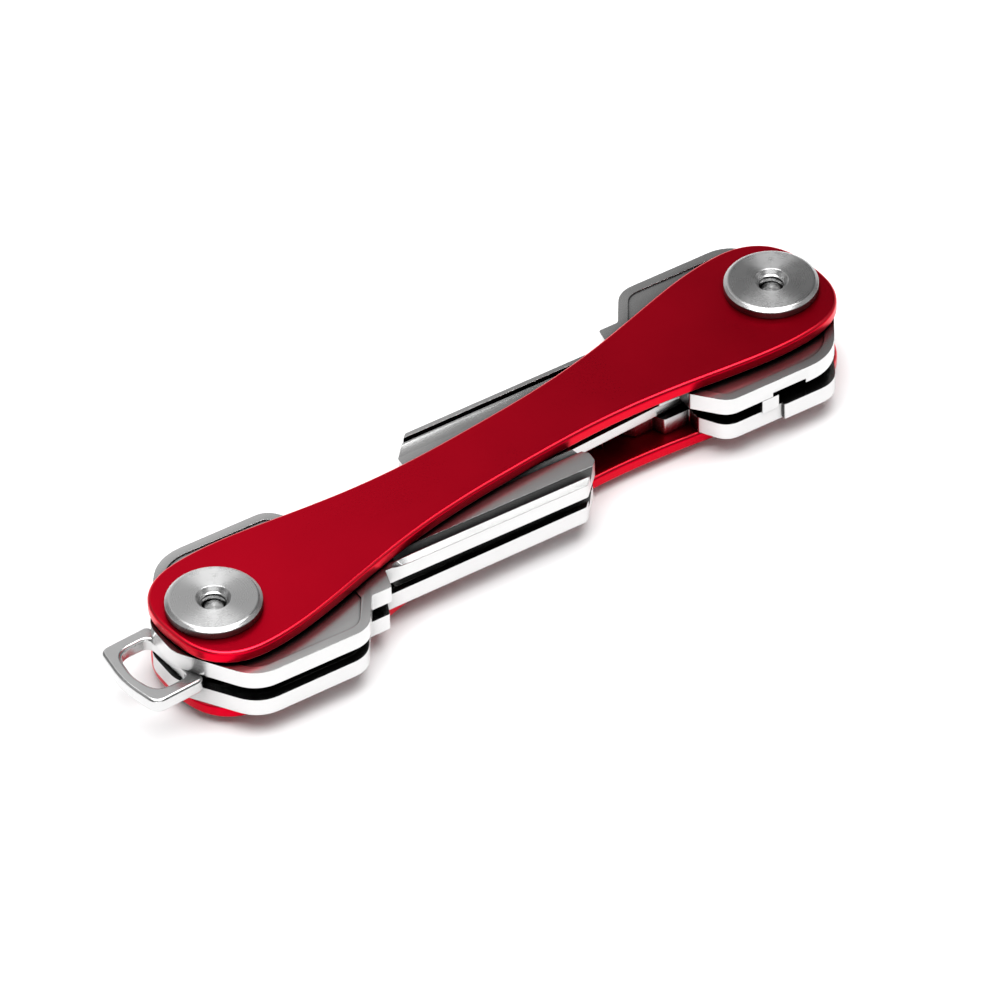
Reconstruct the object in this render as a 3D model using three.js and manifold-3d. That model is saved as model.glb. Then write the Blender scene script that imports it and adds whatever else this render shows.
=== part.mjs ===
// Key organiser: two waisted plates hold four keys, a loop and a bottle opener on two threaded posts.
// Millimetres, +Z up. The origin is the centre of the back plate's outer face, midway between the posts.
// +X runs from the loop end to the other end.

import * as THREE from 'three';
import { mergeVertices } from 'three/addons/utils/BufferGeometryUtils.js';
import Module from 'manifold-3d';

const wasm = await Module();
wasm.setup();

// ---------------------------------------------------------------- driving dimensions

const PLATE = {
  length: 83,
  thickness: 1.5,
  waistHalfWidth: 3.89,
  endHalfWidth: 7.65,
  widestAt: 33.7,
  flare: 1.5,
  endPower: 2.6,
  bevel: 0.3,
};
const POST_SPACING = 72;
const POST_X = POST_SPACING / 2;

const KEY_THICKNESS = 1.93;
const MIDDLE_GAP = 1.7;
const SLIP = 0.03;
const WASHER = { outer: 4.8, thickness: 0.4, proud: 0.04, pocket: 5.0 };
const SHIM = { outer: 4.3, thickness: 0.2 };
const TOUCH = 0.01;

const HEAD = { radius: 4.85, height: 1.1, bevel: 0.3 };
const POST_RADIUS = 2.95;
const PLATE_HOLE = 3.05;
const PIVOT_HOLE = 3.03;
const THREAD_BORE = 1.4;
const SCREW_SHANK = 1.32;
const BORE_CHAMFER = 1.75;
const SCREW_RECESS = 1.2;
const SLOT = { width: 1.3, depth: 0.6 };
const POST_FOOT = 0.5;

const ROUND = 40;
const SMALL_ROUND = 28;
const ARC_STEPS = 5;

// The stack of layers, from the back plate's outer face upwards.
const Z_BACK_INNER = PLATE.thickness;
const Z_LOWER_KEY = Z_BACK_INNER + WASHER.proud + SLIP;
const Z_MIDDLE = Z_LOWER_KEY + KEY_THICKNESS;
const Z_UPPER_KEY = Z_MIDDLE + MIDDLE_GAP;
const Z_FRONT_INNER = Z_UPPER_KEY + KEY_THICKNESS + SLIP + WASHER.proud;
const Z_FRONT_OUTER = Z_FRONT_INNER + PLATE.thickness;
const Z_HEAD_TOP = Z_FRONT_OUTER + HEAD.height;

const LEAF_THICKNESS = MIDDLE_GAP - 2 * SHIM.thickness - 4 * SLIP;
const Z_LEAF = Z_MIDDLE + SHIM.thickness + 2 * SLIP;
const FAT_THICKNESS = MIDDLE_GAP - 0.08;
const Z_FAT = Z_MIDDLE + 0.04;

// Turn of each piece about its post, in degrees. A key points along +X before it is turned.
const TURN = {
  leftUpperKey: -7.9,
  leftLowerKey: -7.3,
  rightUpperKey: 172.6,
  rightLowerKey: 172.6,
  loop: 176.8,
  opener: 176.4,
};

// Depths of the five cuts in each key's edge, in millimetres.
const KEY_CUTS = {
  left_upper_key: [1.6, 2.4, 1.2, 2.0, 1.5],
  left_lower_key: [1.2, 1.9, 2.4, 1.4, 2.1],
  right_upper_key: [2.1, 1.3, 1.8, 2.5, 1.2],
  right_lower_key: [1.4, 2.2, 1.5, 1.9, 2.3],
};

// ---------------------------------------------------------------- solids

function toSolid(geometry) {
  geometry.deleteAttribute('normal');
  geometry.deleteAttribute('uv');
  const merged = mergeVertices(geometry, 1e-5);
  const mesh = new wasm.Mesh({
    numProp: 3,
    vertProperties: new Float32Array(merged.attributes.position.array),
    triVerts: new Uint32Array(merged.index.array),
  });
  return new wasm.Manifold(mesh);
}

function toGeometry(solid) {
  const mesh = solid.getMesh();
  const geometry = new THREE.BufferGeometry();
  geometry.setAttribute('position', new THREE.BufferAttribute(new Float32Array(mesh.vertProperties), 3));
  geometry.setIndex(new THREE.BufferAttribute(new Uint32Array(mesh.triVerts), 1));
  geometry.computeVertexNormals();
  return geometry;
}

// A flat shape with its underside at z0 and its top at z1. A bevel keeps inside the shape's outline.
function slab(shape, z0, z1, bevel = 0, bevelSegments = 1) {
  const geometry = new THREE.ExtrudeGeometry(shape, {
    depth: z1 - z0 - 2 * bevel,
    curveSegments: ARC_STEPS,
    bevelEnabled: bevel > 0,
    bevelThickness: bevel,
    bevelSize: bevel,
    bevelOffset: -bevel,
    bevelSegments,
  });
  geometry.translate(0, 0, z0 + bevel);
  return toSolid(geometry);
}

function disc(radius, z0, z1, segments = ROUND) {
  const geometry = new THREE.CylinderGeometry(radius, radius, z1 - z0, segments);
  geometry.rotateX(Math.PI / 2);
  geometry.translate(0, 0, (z0 + z1) / 2);
  return toSolid(geometry);
}

function block(x0, x1, y0, y1, z0, z1) {
  const geometry = new THREE.BoxGeometry(x1 - x0, y1 - y0, z1 - z0);
  geometry.translate((x0 + x1) / 2, (y0 + y1) / 2, (z0 + z1) / 2);
  return toSolid(geometry);
}

// Turns a profile of [radius, height] points about the Z axis. The profile runs anticlockwise.
function turned(profile, segments = ROUND) {
  const points = profile.map(([r, z]) => new THREE.Vector2(r, z));
  const geometry = new THREE.LatheGeometry(points, segments);
  geometry.rotateX(Math.PI / 2);
  return toSolid(geometry);
}

function ring(inner, outer, z0, z1, segments = SMALL_ROUND) {
  return turned([[inner, z0], [outer, z0], [outer, z1], [inner, z1], [inner, z0]], segments);
}

// A closed outline through [x, y, radius] corners, each rounded by an arc of its own radius.
function roundedShape(corners) {
  const shape = new THREE.Shape();
  const count = corners.length;
  corners.forEach(([x, y, radius], i) => {
    const [px, py] = corners[(i + count - 1) % count];
    const [nx, ny] = corners[(i + 1) % count];
    const before = new THREE.Vector2(px - x, py - y);
    const after = new THREE.Vector2(nx - x, ny - y);
    const halfAngle = Math.acos(before.dot(after) / (before.length() * after.length())) / 2;
    const reach = Math.min(radius / Math.tan(halfAngle), before.length() * 0.49, after.length() * 0.49);
    const start = before.setLength(reach).add(new THREE.Vector2(x, y));
    const end = after.setLength(reach).add(new THREE.Vector2(x, y));
    if (i === 0) {
      shape.moveTo(start.x, start.y);
    } else {
      shape.lineTo(start.x, start.y);
    }
    if (radius > 0) {
      shape.quadraticCurveTo(x, y, end.x, end.y);
    }
  });
  shape.closePath();
  return shape;
}

// Moves every edge of a convex anticlockwise outline inwards by the same distance.
function insetCorners(corners, distance) {
  const count = corners.length;
  const edges = corners.map(([x, y], i) => {
    const [nx, ny] = corners[(i + 1) % count];
    const length = Math.hypot(nx - x, ny - y);
    const normal = [-(ny - y) / length, (nx - x) / length];
    return { normal, offset: normal[0] * x + normal[1] * y + distance };
  });
  return corners.map(([, , radius], i) => {
    const a = edges[(i + count - 1) % count];
    const b = edges[i];
    const cross = a.normal[0] * b.normal[1] - a.normal[1] * b.normal[0];
    const x = (a.offset * b.normal[1] - b.offset * a.normal[1]) / cross;
    const y = (a.normal[0] * b.offset - b.normal[0] * a.offset) / cross;
    return [x, y, Math.max(radius - distance, 0.3)];
  });
}

// ---------------------------------------------------------------- plates

function plateHalfWidth(x) {
  const along = Math.min(Math.abs(x) / PLATE.widestAt, 1) ** PLATE.flare;
  const blend = along * along * (3 - 2 * along);
  return PLATE.waistHalfWidth + (PLATE.endHalfWidth - PLATE.waistHalfWidth) * blend;
}

function plateShape() {
  const sideSteps = 22;
  const endSteps = 18;
  const endReach = PLATE.length / 2 - PLATE.widestAt;
  const points = [];
  for (const side of [1, -1]) {
    for (let i = 0; i < endSteps; i += 1) {
      const angle = Math.PI * (i / endSteps - 0.5);
      const x = endReach * Math.cos(angle) ** (2 / PLATE.endPower);
      const y = PLATE.endHalfWidth * Math.sign(angle) * Math.abs(Math.sin(angle)) ** (2 / PLATE.endPower);
      points.push(new THREE.Vector2(side * (PLATE.widestAt + x), side * y));
    }
    for (let i = 0; i < sideSteps; i += 1) {
      const x = PLATE.widestAt * (1 - (2 * i) / sideSteps);
      points.push(new THREE.Vector2(side * x, side * plateHalfWidth(x)));
    }
  }
  return new THREE.Shape(points);
}

function plate(z0, pocketZ0, pocketZ1) {
  let body = slab(plateShape(), z0, z0 + PLATE.thickness, PLATE.bevel);
  for (const x of [-POST_X, POST_X]) {
    const hole = disc(PLATE_HOLE, z0 - 1, z0 + PLATE.thickness + 1).translate([x, 0, 0]);
    const pocket = disc(WASHER.pocket, pocketZ0, pocketZ1).translate([x, 0, 0]);
    body = body.subtract(hole).subtract(pocket);
  }
  return toGeometry(body);
}

// ---------------------------------------------------------------- posts, screws and washers

// A flanged post, threaded right through: the head lies on the front plate.
function barrelNut() {
  const headBase = Z_FRONT_OUTER + TOUCH;
  return toGeometry(turned([
    [THREAD_BORE, POST_FOOT],
    [POST_RADIUS, POST_FOOT],
    [POST_RADIUS, headBase],
    [HEAD.radius, headBase],
    [HEAD.radius, Z_HEAD_TOP - HEAD.bevel],
    [HEAD.radius - HEAD.bevel, Z_HEAD_TOP],
    [BORE_CHAMFER, Z_HEAD_TOP],
    [THREAD_BORE, Z_HEAD_TOP - (BORE_CHAMFER - THREAD_BORE)],
    [THREAD_BORE, POST_FOOT],
  ]));
}

// The screw that closes the post from behind, with a coin slot across its head.
function screw() {
  const headTop = -TOUCH;
  const headBottom = -HEAD.height;
  const tip = Z_HEAD_TOP - SCREW_RECESS;
  const body = turned([
    [0, headBottom],
    [HEAD.radius - HEAD.bevel, headBottom],
    [HEAD.radius, headBottom + HEAD.bevel],
    [HEAD.radius, headTop],
    [SCREW_SHANK, headTop],
    [SCREW_SHANK, tip - 0.3],
    [SCREW_SHANK - 0.3, tip],
    [0, tip],
  ]);
  const half = HEAD.radius + 1;
  const slot = block(-SLOT.width / 2, SLOT.width / 2, -half, half, headBottom - 1, headBottom + SLOT.depth);
  return toGeometry(body.subtract(slot));
}

function washer(z0) {
  return toGeometry(ring(PIVOT_HOLE, WASHER.outer, z0, z0 + WASHER.thickness));
}

function shim(z0) {
  return toGeometry(ring(PIVOT_HOLE, SHIM.outer, z0, z0 + SHIM.thickness));
}

// ---------------------------------------------------------------- keys

const BOW = {
  spineSide: -9.7,
  cutSide: 10.7,
  end: -5.95,
  cornerX: 12.3,
  cutCornerX: 12.1,
  endRounding: 5.5,
  rim: 1.0,
  recess: 0.14,
};
const NECK = { start: 14.9, end: 17.2, spineSide: -5.75, cutSide: 5.6, cutCorner: 7.5 };
const BLADE = { spine: -3.4, top: 4.6, start: 17.5, tip: 43.5 };
const CUTS = { first: 21.5, pitch: 3.96, flat: 1.2, slope: 1.0 };
const GROOVE_START = 18.4;

// Grooves and ledges along the blades: which face, from y0 to y1, and how deep.
const UNDERSIDE_GROOVE = { top: false, y0: -0.75, y1: 0.25, depth: 0.65 };
const GROOVES = {
  leftUpper: [
    { top: true, y0: -4, y1: -3.0, depth: 0.35 },
    { top: true, y0: -2.66, y1: -1.5, depth: 0.58 },
    { top: true, y0: 0.9, y1: 1.7, depth: 0.38 },
    UNDERSIDE_GROOVE,
  ],
  leftLower: [
    { top: true, y0: -2.66, y1: -1.5, depth: 0.58 },
    { top: true, y0: 0.9, y1: 1.7, depth: 0.38 },
    UNDERSIDE_GROOVE,
  ],
  right: [
    { top: true, y0: -2.92, y1: -2.3, depth: 0.7 },
    { top: true, y0: -1.9, y1: 5.2, depth: 0.3 },
    UNDERSIDE_GROOVE,
  ],
};

// Points of the cut edge, from the tip back to the shoulder.
function cutEdge(depths) {
  const roots = depths.map((depth, i) => ({ x: CUTS.first + CUTS.pitch * i, y: BLADE.top - depth }));
  const points = [];
  const last = roots[roots.length - 1];
  points.push([last.x + CUTS.flat / 2 + (BLADE.top - 1 - last.y) / CUTS.slope, BLADE.top - 1, 0]);
  for (let i = roots.length - 1; i >= 0; i -= 1) {
    const root = roots[i];
    points.push([root.x + CUTS.flat / 2, root.y, 0]);
    points.push([root.x - CUTS.flat / 2, root.y, 0]);
    if (i > 0) {
      const next = roots[i - 1];
      const gap = CUTS.pitch - CUTS.flat;
      const rise = (gap * CUTS.slope + root.y - next.y) / 2 - (root.y - next.y);
      points.push([root.x - CUTS.flat / 2 - rise / CUTS.slope, root.y + rise, 0]);
    } else {
      points.push([root.x - CUTS.flat / 2 - (BLADE.top - root.y) / CUTS.slope, BLADE.top, 0]);
    }
  }
  return points;
}

// The bow's outline. A shorter bow ends nearer to the post, and a narrower one reaches less far
// on its cut side.
function bowCorners(shorter, narrower) {
  const cutSide = BOW.cutSide - narrower;
  const neck = NECK.start - shorter;
  return [
    [BOW.end, -2.0, 3.5],
    [-0.9, BOW.spineSide, 4.2],
    [BOW.cornerX - shorter, BOW.spineSide, 3.0],
    [neck, NECK.spineSide, 0.5],
    [neck, NECK.cutCorner, 0.5],
    [BOW.cutCornerX, cutSide, 2.4],
    [-0.6, cutSide, BOW.endRounding],
    [BOW.end, 2.4, 3.5],
  ];
}

// The key's outline. Its stub is the shoulder between bow and blade.
function keyShape(depths, { reach, shorter, narrower, stub }) {
  const tip = BLADE.tip + reach;
  const bow = bowCorners(shorter, narrower);
  return roundedShape([
    ...bow.slice(0, 4),
    [NECK.end - shorter, NECK.spineSide, 0.3],
    [BLADE.start, BLADE.spine, 0.15],
    [tip - 2.5, BLADE.spine, 0.3],
    [tip - 0.1, -0.9, 0.5],
    [tip, 0.3, 0.5],
    [tip - 2.2, 2.9, 0.3],
    ...cutEdge(depths),
    [BLADE.start, BLADE.top, 0.15],
    [NECK.end - shorter + stub, NECK.cutSide + stub / 2, 0.3],
    [NECK.start - shorter, NECK.cutSide + stub / 2, 0.2],
    ...bow.slice(4),
  ]);
}

// One key, flat on z = 0. A step stands out from the bow's cut side, or a notch lies under it.
function key(depths, { grooves, step, notch, reach = 0, shorter = 0, narrower = 0, stub = 0 }) {
  let body = slab(keyShape(depths, { reach, shorter, narrower, stub }), 0, KEY_THICKNESS);
  if (step) {
    const outer = BOW.cutSide - narrower + step.out;
    const land = roundedShape([
      [step.x0, step.y0, 0],
      [step.x1, step.y0, 0],
      [step.x1, outer, 0.15],
      [step.cornerX, outer, 4],
    ]);
    body = body.add(slab(land, 0, KEY_THICKNESS));
  }
  const faceRecess = roundedShape(insetCorners(bowCorners(shorter, narrower), BOW.rim));
  body = body.subtract(slab(faceRecess, KEY_THICKNESS - BOW.recess, KEY_THICKNESS + 1));
  body = body.subtract(slab(faceRecess, -1, BOW.recess));
  for (const groove of grooves) {
    const z0 = groove.top ? KEY_THICKNESS - groove.depth : -1;
    const z1 = groove.top ? KEY_THICKNESS + 1 : groove.depth;
    body = body.subtract(block(GROOVE_START, BLADE.tip + 5, groove.y0, groove.y1, z0, z1));
  }
  if (notch) {
    const floor = BOW.cutSide - notch.deep;
    body = body.subtract(block(notch.x0, notch.x1, floor, BOW.cutSide + 1, -1, notch.high));
  }
  return toGeometry(body.subtract(disc(PIVOT_HOLE, -1, KEY_THICKNESS + 1, SMALL_ROUND)));
}

// ---------------------------------------------------------------- loop and bottle opener

const EYE_RADIUS = 5.2;
const LOOP = {
  near: 4.6,
  far: 10.45,
  arch: 0.85,
  halfWidth: 4.92,
  nearCorner: 0.8,
  farCorner: 1.5,
  edge: 0.3,
};
const LOOP_HOLE = { near: 5.45, far: 9.75, halfWidth: 3.42, corner: 1.2 };

// The loop piece: a thick rounded ring on a thinner eye that turns on the post.
function loopPiece() {
  const outline = roundedShape([
    [LOOP.near, -LOOP.halfWidth, LOOP.nearCorner],
    [LOOP.far, -LOOP.halfWidth, LOOP.farCorner],
    [LOOP.far + LOOP.arch, 0, 12],
    [LOOP.far, LOOP.halfWidth, LOOP.farCorner],
    [LOOP.near, LOOP.halfWidth, LOOP.nearCorner],
  ]);
  outline.holes.push(roundedShape([
    [LOOP_HOLE.near, LOOP_HOLE.halfWidth, LOOP_HOLE.corner],
    [LOOP_HOLE.far, LOOP_HOLE.halfWidth, LOOP_HOLE.corner],
    [LOOP_HOLE.far, -LOOP_HOLE.halfWidth, LOOP_HOLE.corner],
    [LOOP_HOLE.near, -LOOP_HOLE.halfWidth, LOOP_HOLE.corner],
  ]));
  const loop = slab(outline, Z_FAT, Z_FAT + FAT_THICKNESS, LOOP.edge, 2);
  const eye = disc(EYE_RADIUS, Z_LEAF, Z_LEAF + LEAF_THICKNESS);
  const bore = disc(PIVOT_HOLE, Z_LEAF - 1, Z_LEAF + LEAF_THICKNESS + 1, SMALL_ROUND);
  return toGeometry(loop.add(eye).subtract(bore));
}

const OPENER = { halfWidth: 4.05, length: 46, tabX0: 6.8, tabX1: 8.8, tabReach: 10.27, tabFatFrom: 5.6 };
const OPENER_HOOK = { x: 37, radius: 3.4, centreY: -4.9 };

// The bottle opener: a flat bar with a hook bitten out near its end and a finger tab by the eye.
function bottleOpener() {
  const bar = roundedShape([
    [0, -OPENER.halfWidth, 0],
    [OPENER.length, -OPENER.halfWidth, 1.2],
    [OPENER.length, OPENER.halfWidth, 2.2],
    [0, OPENER.halfWidth, 0],
  ]);
  const z1 = Z_LEAF + LEAF_THICKNESS;
  const askew = THREE.MathUtils.degToRad(TURN.opener - TURN.rightUpperKey);
  const tabTilt = (OPENER.tabX1 - OPENER.tabX0) * Math.tan(askew);
  const tab = (y0) => roundedShape([
    [OPENER.tabX0, y0, 0],
    [OPENER.tabX1, y0, 0],
    [OPENER.tabX1, OPENER.tabReach - tabTilt, 0.12],
    [OPENER.tabX0, OPENER.tabReach, 0.12],
  ]);
  return toGeometry(
    slab(bar, Z_LEAF, z1)
      .add(disc(EYE_RADIUS, Z_LEAF, z1))
      .add(slab(tab(1), Z_LEAF, z1))
      .add(slab(tab(OPENER.tabFatFrom), Z_FAT, Z_FAT + FAT_THICKNESS))
      .subtract(disc(OPENER_HOOK.radius, 0, z1 + 1).translate([OPENER_HOOK.x, OPENER_HOOK.centreY, 0]))
      .subtract(disc(PIVOT_HOLE, Z_LEAF - 1, z1 + 1, SMALL_ROUND)),
  );
}

// ---------------------------------------------------------------- materials

function finish(color, roughness, metalness) {
  return new THREE.MeshStandardMaterial({ color, roughness, metalness });
}

const anodisedRed = () => finish(0xb40020, 0.38, 0.85);
const turnedSteel = () => finish(0xb9b9b6, 0.28, 1.0);
const keySteel = () => finish(0xc4c2c0, 0.3, 1.0);
const loopSteel = () => finish(0xc9c9c8, 0.25, 1.0);
const nylon = () => finish(0xe6e4dc, 0.55, 0.0);
const shimSteel = () => finish(0x9a9a98, 0.4, 1.0);

// ---------------------------------------------------------------- assembly

const organiser = new THREE.Group();

function place(name, geometry, material, { x = 0, z = 0, turn = 0 } = {}) {
  const mesh = new THREE.Mesh(geometry, material);
  mesh.name = name;
  mesh.position.set(x, 0, z);
  mesh.rotation.z = THREE.MathUtils.degToRad(turn);
  organiser.add(mesh);
}

const POCKET_DEPTH = WASHER.thickness - WASHER.proud;
place('front_plate', plate(Z_FRONT_INNER, Z_FRONT_INNER - 1, Z_FRONT_INNER + POCKET_DEPTH), anodisedRed());
place('back_plate', plate(0, Z_BACK_INNER - POCKET_DEPTH, Z_BACK_INNER + 1), anodisedRed());

for (const [side, x] of [['left', -POST_X], ['right', POST_X]]) {
  place(`${side}_barrel_nut`, barrelNut(), turnedSteel(), { x });
  place(`${side}_screw`, screw(), turnedSteel(), { x });
  place(`${side}_front_washer`, washer(Z_FRONT_INNER - WASHER.proud), nylon(), { x });
  place(`${side}_back_washer`, washer(Z_BACK_INNER + WASHER.proud - WASHER.thickness), nylon(), { x });
  place(`${side}_lower_shim`, shim(Z_MIDDLE + SLIP), shimSteel(), { x });
  place(`${side}_upper_shim`, shim(Z_UPPER_KEY - SLIP - SHIM.thickness), shimSteel(), { x });
}

const KEY_OPTIONS = {
  left_upper_key: {
    turn: TURN.leftUpperKey,
    x: -POST_X,
    z: Z_UPPER_KEY,
    grooves: GROOVES.leftUpper,
    shorter: 0.4,
  },
  left_lower_key: {
    turn: TURN.leftLowerKey,
    x: -POST_X,
    z: Z_LOWER_KEY,
    grooves: GROOVES.leftLower,
    shorter: 0.7,
  },
  right_upper_key: {
    turn: TURN.rightUpperKey,
    x: POST_X,
    z: Z_UPPER_KEY,
    grooves: GROOVES.right,
    reach: 0.6,
    shorter: 0.1,
    notch: { x0: 2.9, x1: 6.85, deep: 1.0, high: 0.5 },
  },
  right_lower_key: {
    turn: TURN.rightLowerKey,
    x: POST_X,
    z: Z_LOWER_KEY,
    grooves: GROOVES.right,
    shorter: 1.1,
    narrower: 0.35,
    stub: 0.7,
    step: { x0: -2.6, x1: 5.5, y0: 7.4, cornerX: -0.8, out: 0.4 },
  },
};
for (const [name, options] of Object.entries(KEY_OPTIONS)) {
  place(name, key(KEY_CUTS[name], options), keySteel(), options);
}

place('loop_piece', loopPiece(), loopSteel(), { x: -POST_X, turn: TURN.loop });
place('bottle_opener', bottleOpener(), keySteel(), { x: POST_X, turn: TURN.opener });

export default organiser;
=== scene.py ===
import math

import bmesh
import bpy
from mathutils import Matrix, Vector
from mathutils.geometry import tessellate_polygon


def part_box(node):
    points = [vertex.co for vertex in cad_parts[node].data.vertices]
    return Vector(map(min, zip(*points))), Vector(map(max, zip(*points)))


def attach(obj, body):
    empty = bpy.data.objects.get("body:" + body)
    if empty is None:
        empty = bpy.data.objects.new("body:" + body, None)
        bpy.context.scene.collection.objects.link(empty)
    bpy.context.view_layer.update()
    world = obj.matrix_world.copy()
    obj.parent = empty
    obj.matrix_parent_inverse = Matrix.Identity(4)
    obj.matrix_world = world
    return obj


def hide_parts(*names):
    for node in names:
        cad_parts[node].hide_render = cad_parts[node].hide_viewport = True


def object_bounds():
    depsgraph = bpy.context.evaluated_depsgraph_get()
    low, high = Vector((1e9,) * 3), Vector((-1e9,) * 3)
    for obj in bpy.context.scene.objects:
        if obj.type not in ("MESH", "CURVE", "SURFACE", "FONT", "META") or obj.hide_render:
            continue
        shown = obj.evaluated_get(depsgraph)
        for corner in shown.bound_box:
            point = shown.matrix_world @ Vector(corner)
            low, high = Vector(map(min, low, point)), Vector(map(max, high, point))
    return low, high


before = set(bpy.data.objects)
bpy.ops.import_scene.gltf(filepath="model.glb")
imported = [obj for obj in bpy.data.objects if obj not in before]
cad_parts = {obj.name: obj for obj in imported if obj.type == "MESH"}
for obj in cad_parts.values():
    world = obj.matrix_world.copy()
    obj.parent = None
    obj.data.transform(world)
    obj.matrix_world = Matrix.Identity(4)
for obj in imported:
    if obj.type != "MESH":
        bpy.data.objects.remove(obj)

# The key organiser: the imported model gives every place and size, and this script gives the finish.
# Shapes are worked out in millimetres and made in metres.

MM = 0.001
ROUND = 96
LAP = 1.0
TOUCH = 0.01
CAD_LO, CAD_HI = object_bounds()


def span(node, axis):
    """The lowest and highest value of a CAD node along an axis, in millimetres."""
    lo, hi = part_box(node)
    return lo[axis] / MM, hi[axis] / MM


LEFT_POST = sum(span("left_barrel_nut", 0)) / 2
RIGHT_POST = sum(span("right_barrel_nut", 0)) / 2

# ---------------------------------------------------------------- mesh building


class Shell:
    """A mesh under construction, with a normal of its own for every corner of every face."""

    def __init__(self):
        self.points = []
        self.faces = []
        self.normals = []

    def add(self, points):
        start = len(self.points)
        self.points.extend(points)
        return list(range(start, len(self.points)))

    def strip(self, ring_a, ring_b, normals_a, normals_b):
        """Quads between two closed rings of points."""
        count = len(ring_a)
        for i in range(count):
            j = (i + 1) % count
            self.faces.append((ring_a[i], ring_a[j], ring_b[j], ring_b[i]))
            self.normals.extend((normals_a[i], normals_a[j], normals_b[j], normals_b[i]))

    def cap(self, rings, up):
        """A flat face inside the first ring and outside the others."""
        loops = [[Vector(self.points[i]) for i in ring] for ring in rings]
        flat = [i for ring in rings for i in ring]
        for a, b, c in tessellate_polygon(loops):
            tri = (flat[a], flat[b], flat[c])
            pa, pb, pc = (Vector(self.points[i]) for i in tri)
            if ((pb - pa).cross(pc - pa).z > 0) != up:
                tri = tri[::-1]
            self.faces.append(tri)
            self.normals.extend([(0, 0, 1 if up else -1)] * 3)

    def build(self, name, at=(0, 0, 0), turn=0.0):
        mesh = bpy.data.meshes.new(name)
        mesh.from_pydata([tuple(c * MM for c in p) for p in self.points], [], self.faces)
        mesh.polygons.foreach_set("use_smooth", [True] * len(mesh.polygons))
        mesh.normals_split_custom_set([Vector(n).normalized() for n in self.normals])
        return place(name, mesh, at, turn)


def place(name, mesh, at=(0, 0, 0), turn=0.0):
    obj = bpy.data.objects.new(name, mesh)
    bpy.context.scene.collection.objects.link(obj)
    obj.location = [c * MM for c in at]
    obj.rotation_euler = (0, 0, math.radians(turn))
    return obj


def outward(loop):
    """For each point of a loop, the unit normal away from the material and the mitre's length."""
    result = []
    count = len(loop)
    for i, (x, y) in enumerate(loop):
        px, py = loop[i - 1]
        nx, ny = loop[(i + 1) % count]
        before = Vector((y - py, px - x)).normalized()
        after = Vector((ny - y, x - nx)).normalized()
        middle = (before + after).normalized()
        result.append((middle, 1 / max(middle.dot(before), 0.35)))
    return result


def sweep(shell, loop, profile):
    """Carries a profile round a loop. Each profile entry is (inset, z, outward part, upward part)."""
    normals = outward(loop)
    rings = []
    for inset, z, out, up in profile:
        ring = shell.add([
            (x - n.x * inset * mitre, y - n.y * inset * mitre, z) for (x, y), (n, mitre) in zip(loop, normals)
        ])
        rings.append((ring, [(n.x * out, n.y * out, up) for n, _ in normals]))
    for (a, normals_a), (b, normals_b) in zip(rings, rings[1:]):
        shell.strip(a, b, normals_a, normals_b)
    return rings[0][0], rings[-1][0]


def edge_profile(z0, z1, radius, steps=4):
    """A flat piece's edge from its underside to its top, rounded below and above."""
    quarter = [math.pi / 2 * i / steps for i in range(steps + 1)]
    turns = [(math.cos(a), math.sin(a)) for a in quarter]
    below = [(radius * (1 - s), z0 + radius * (1 - c), s, -c) for c, s in turns]
    above = [(radius * (1 - c), z1 - radius * (1 - s), c, s) for c, s in turns]
    return below + above


def slab(shell, outline, holes, z0, z1, radius):
    """A flat piece: its outline runs anticlockwise and its holes clockwise."""
    ends = [sweep(shell, loop, edge_profile(z0, z1, radius)) for loop in (outline, *holes)]
    shell.cap([end[0] for end in ends], up=False)
    shell.cap([end[1] for end in ends], up=True)


def circle(radius, count=ROUND, x=0.0, y=0.0, clockwise=False):
    sign = -1 if clockwise else 1
    angles = [sign * 2 * math.pi * i / count for i in range(count)]
    return [(x + radius * math.cos(a), y + radius * math.sin(a)) for a in angles]


def turned(shell, corners, count=128, rounding_steps=6):
    """Turns a profile about the Z axis. Each corner is (radius, z, rounding); the solid lies on its left."""
    path = []
    for i, (r, z, rounding) in enumerate(corners):
        here = Vector((r, z))
        before = (here - Vector(corners[i - 1][:2])).normalized() if i > 0 else None
        after = (Vector(corners[i + 1][:2]) - here).normalized() if i + 1 < len(corners) else None
        if rounding == 0:
            path.append((here, before, after))
            continue
        for k in range(rounding_steps + 1):
            t = k / rounding_steps
            point = here - before * rounding * (1 - t) ** 2 + after * rounding * t ** 2
            tangent = (before * (1 - t) + after * t).normalized()
            path.append((point, tangent, tangent))
    angles = [2 * math.pi * k / count for k in range(count)]
    for (a, _, leaving), (b, arriving, _) in zip(path, path[1:]):
        rings = []
        for p, t in ((a, leaving), (b, arriving)):
            points = [(p.x * math.cos(k), p.x * math.sin(k), p.y) for k in angles]
            rings.append((shell.add(points), [(t.y * math.cos(k), t.y * math.sin(k), -t.x) for k in angles]))
        shell.strip(rings[0][0], rings[1][0], rings[0][1], rings[1][1])


def rounded(corners, steps=8):
    """A closed outline through (x, y, radius) corners."""
    outline = []
    count = len(corners)
    for i, (x, y, radius) in enumerate(corners):
        here = Vector((x, y))
        before = Vector(corners[i - 1][:2]) - here
        after = Vector(corners[(i + 1) % count][:2]) - here
        if radius <= 0:
            outline.append((x, y))
            continue
        half = before.angle(after) / 2
        reach = min(radius / math.tan(half), before.length * 0.49, after.length * 0.49)
        a, b = here + before.normalized() * reach, here + after.normalized() * reach
        for k in range(steps + 1):
            t = k / steps
            p = a * (1 - t) ** 2 + here * 2 * t * (1 - t) + b * t * t
            outline.append((p.x, p.y))
    return outline


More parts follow.
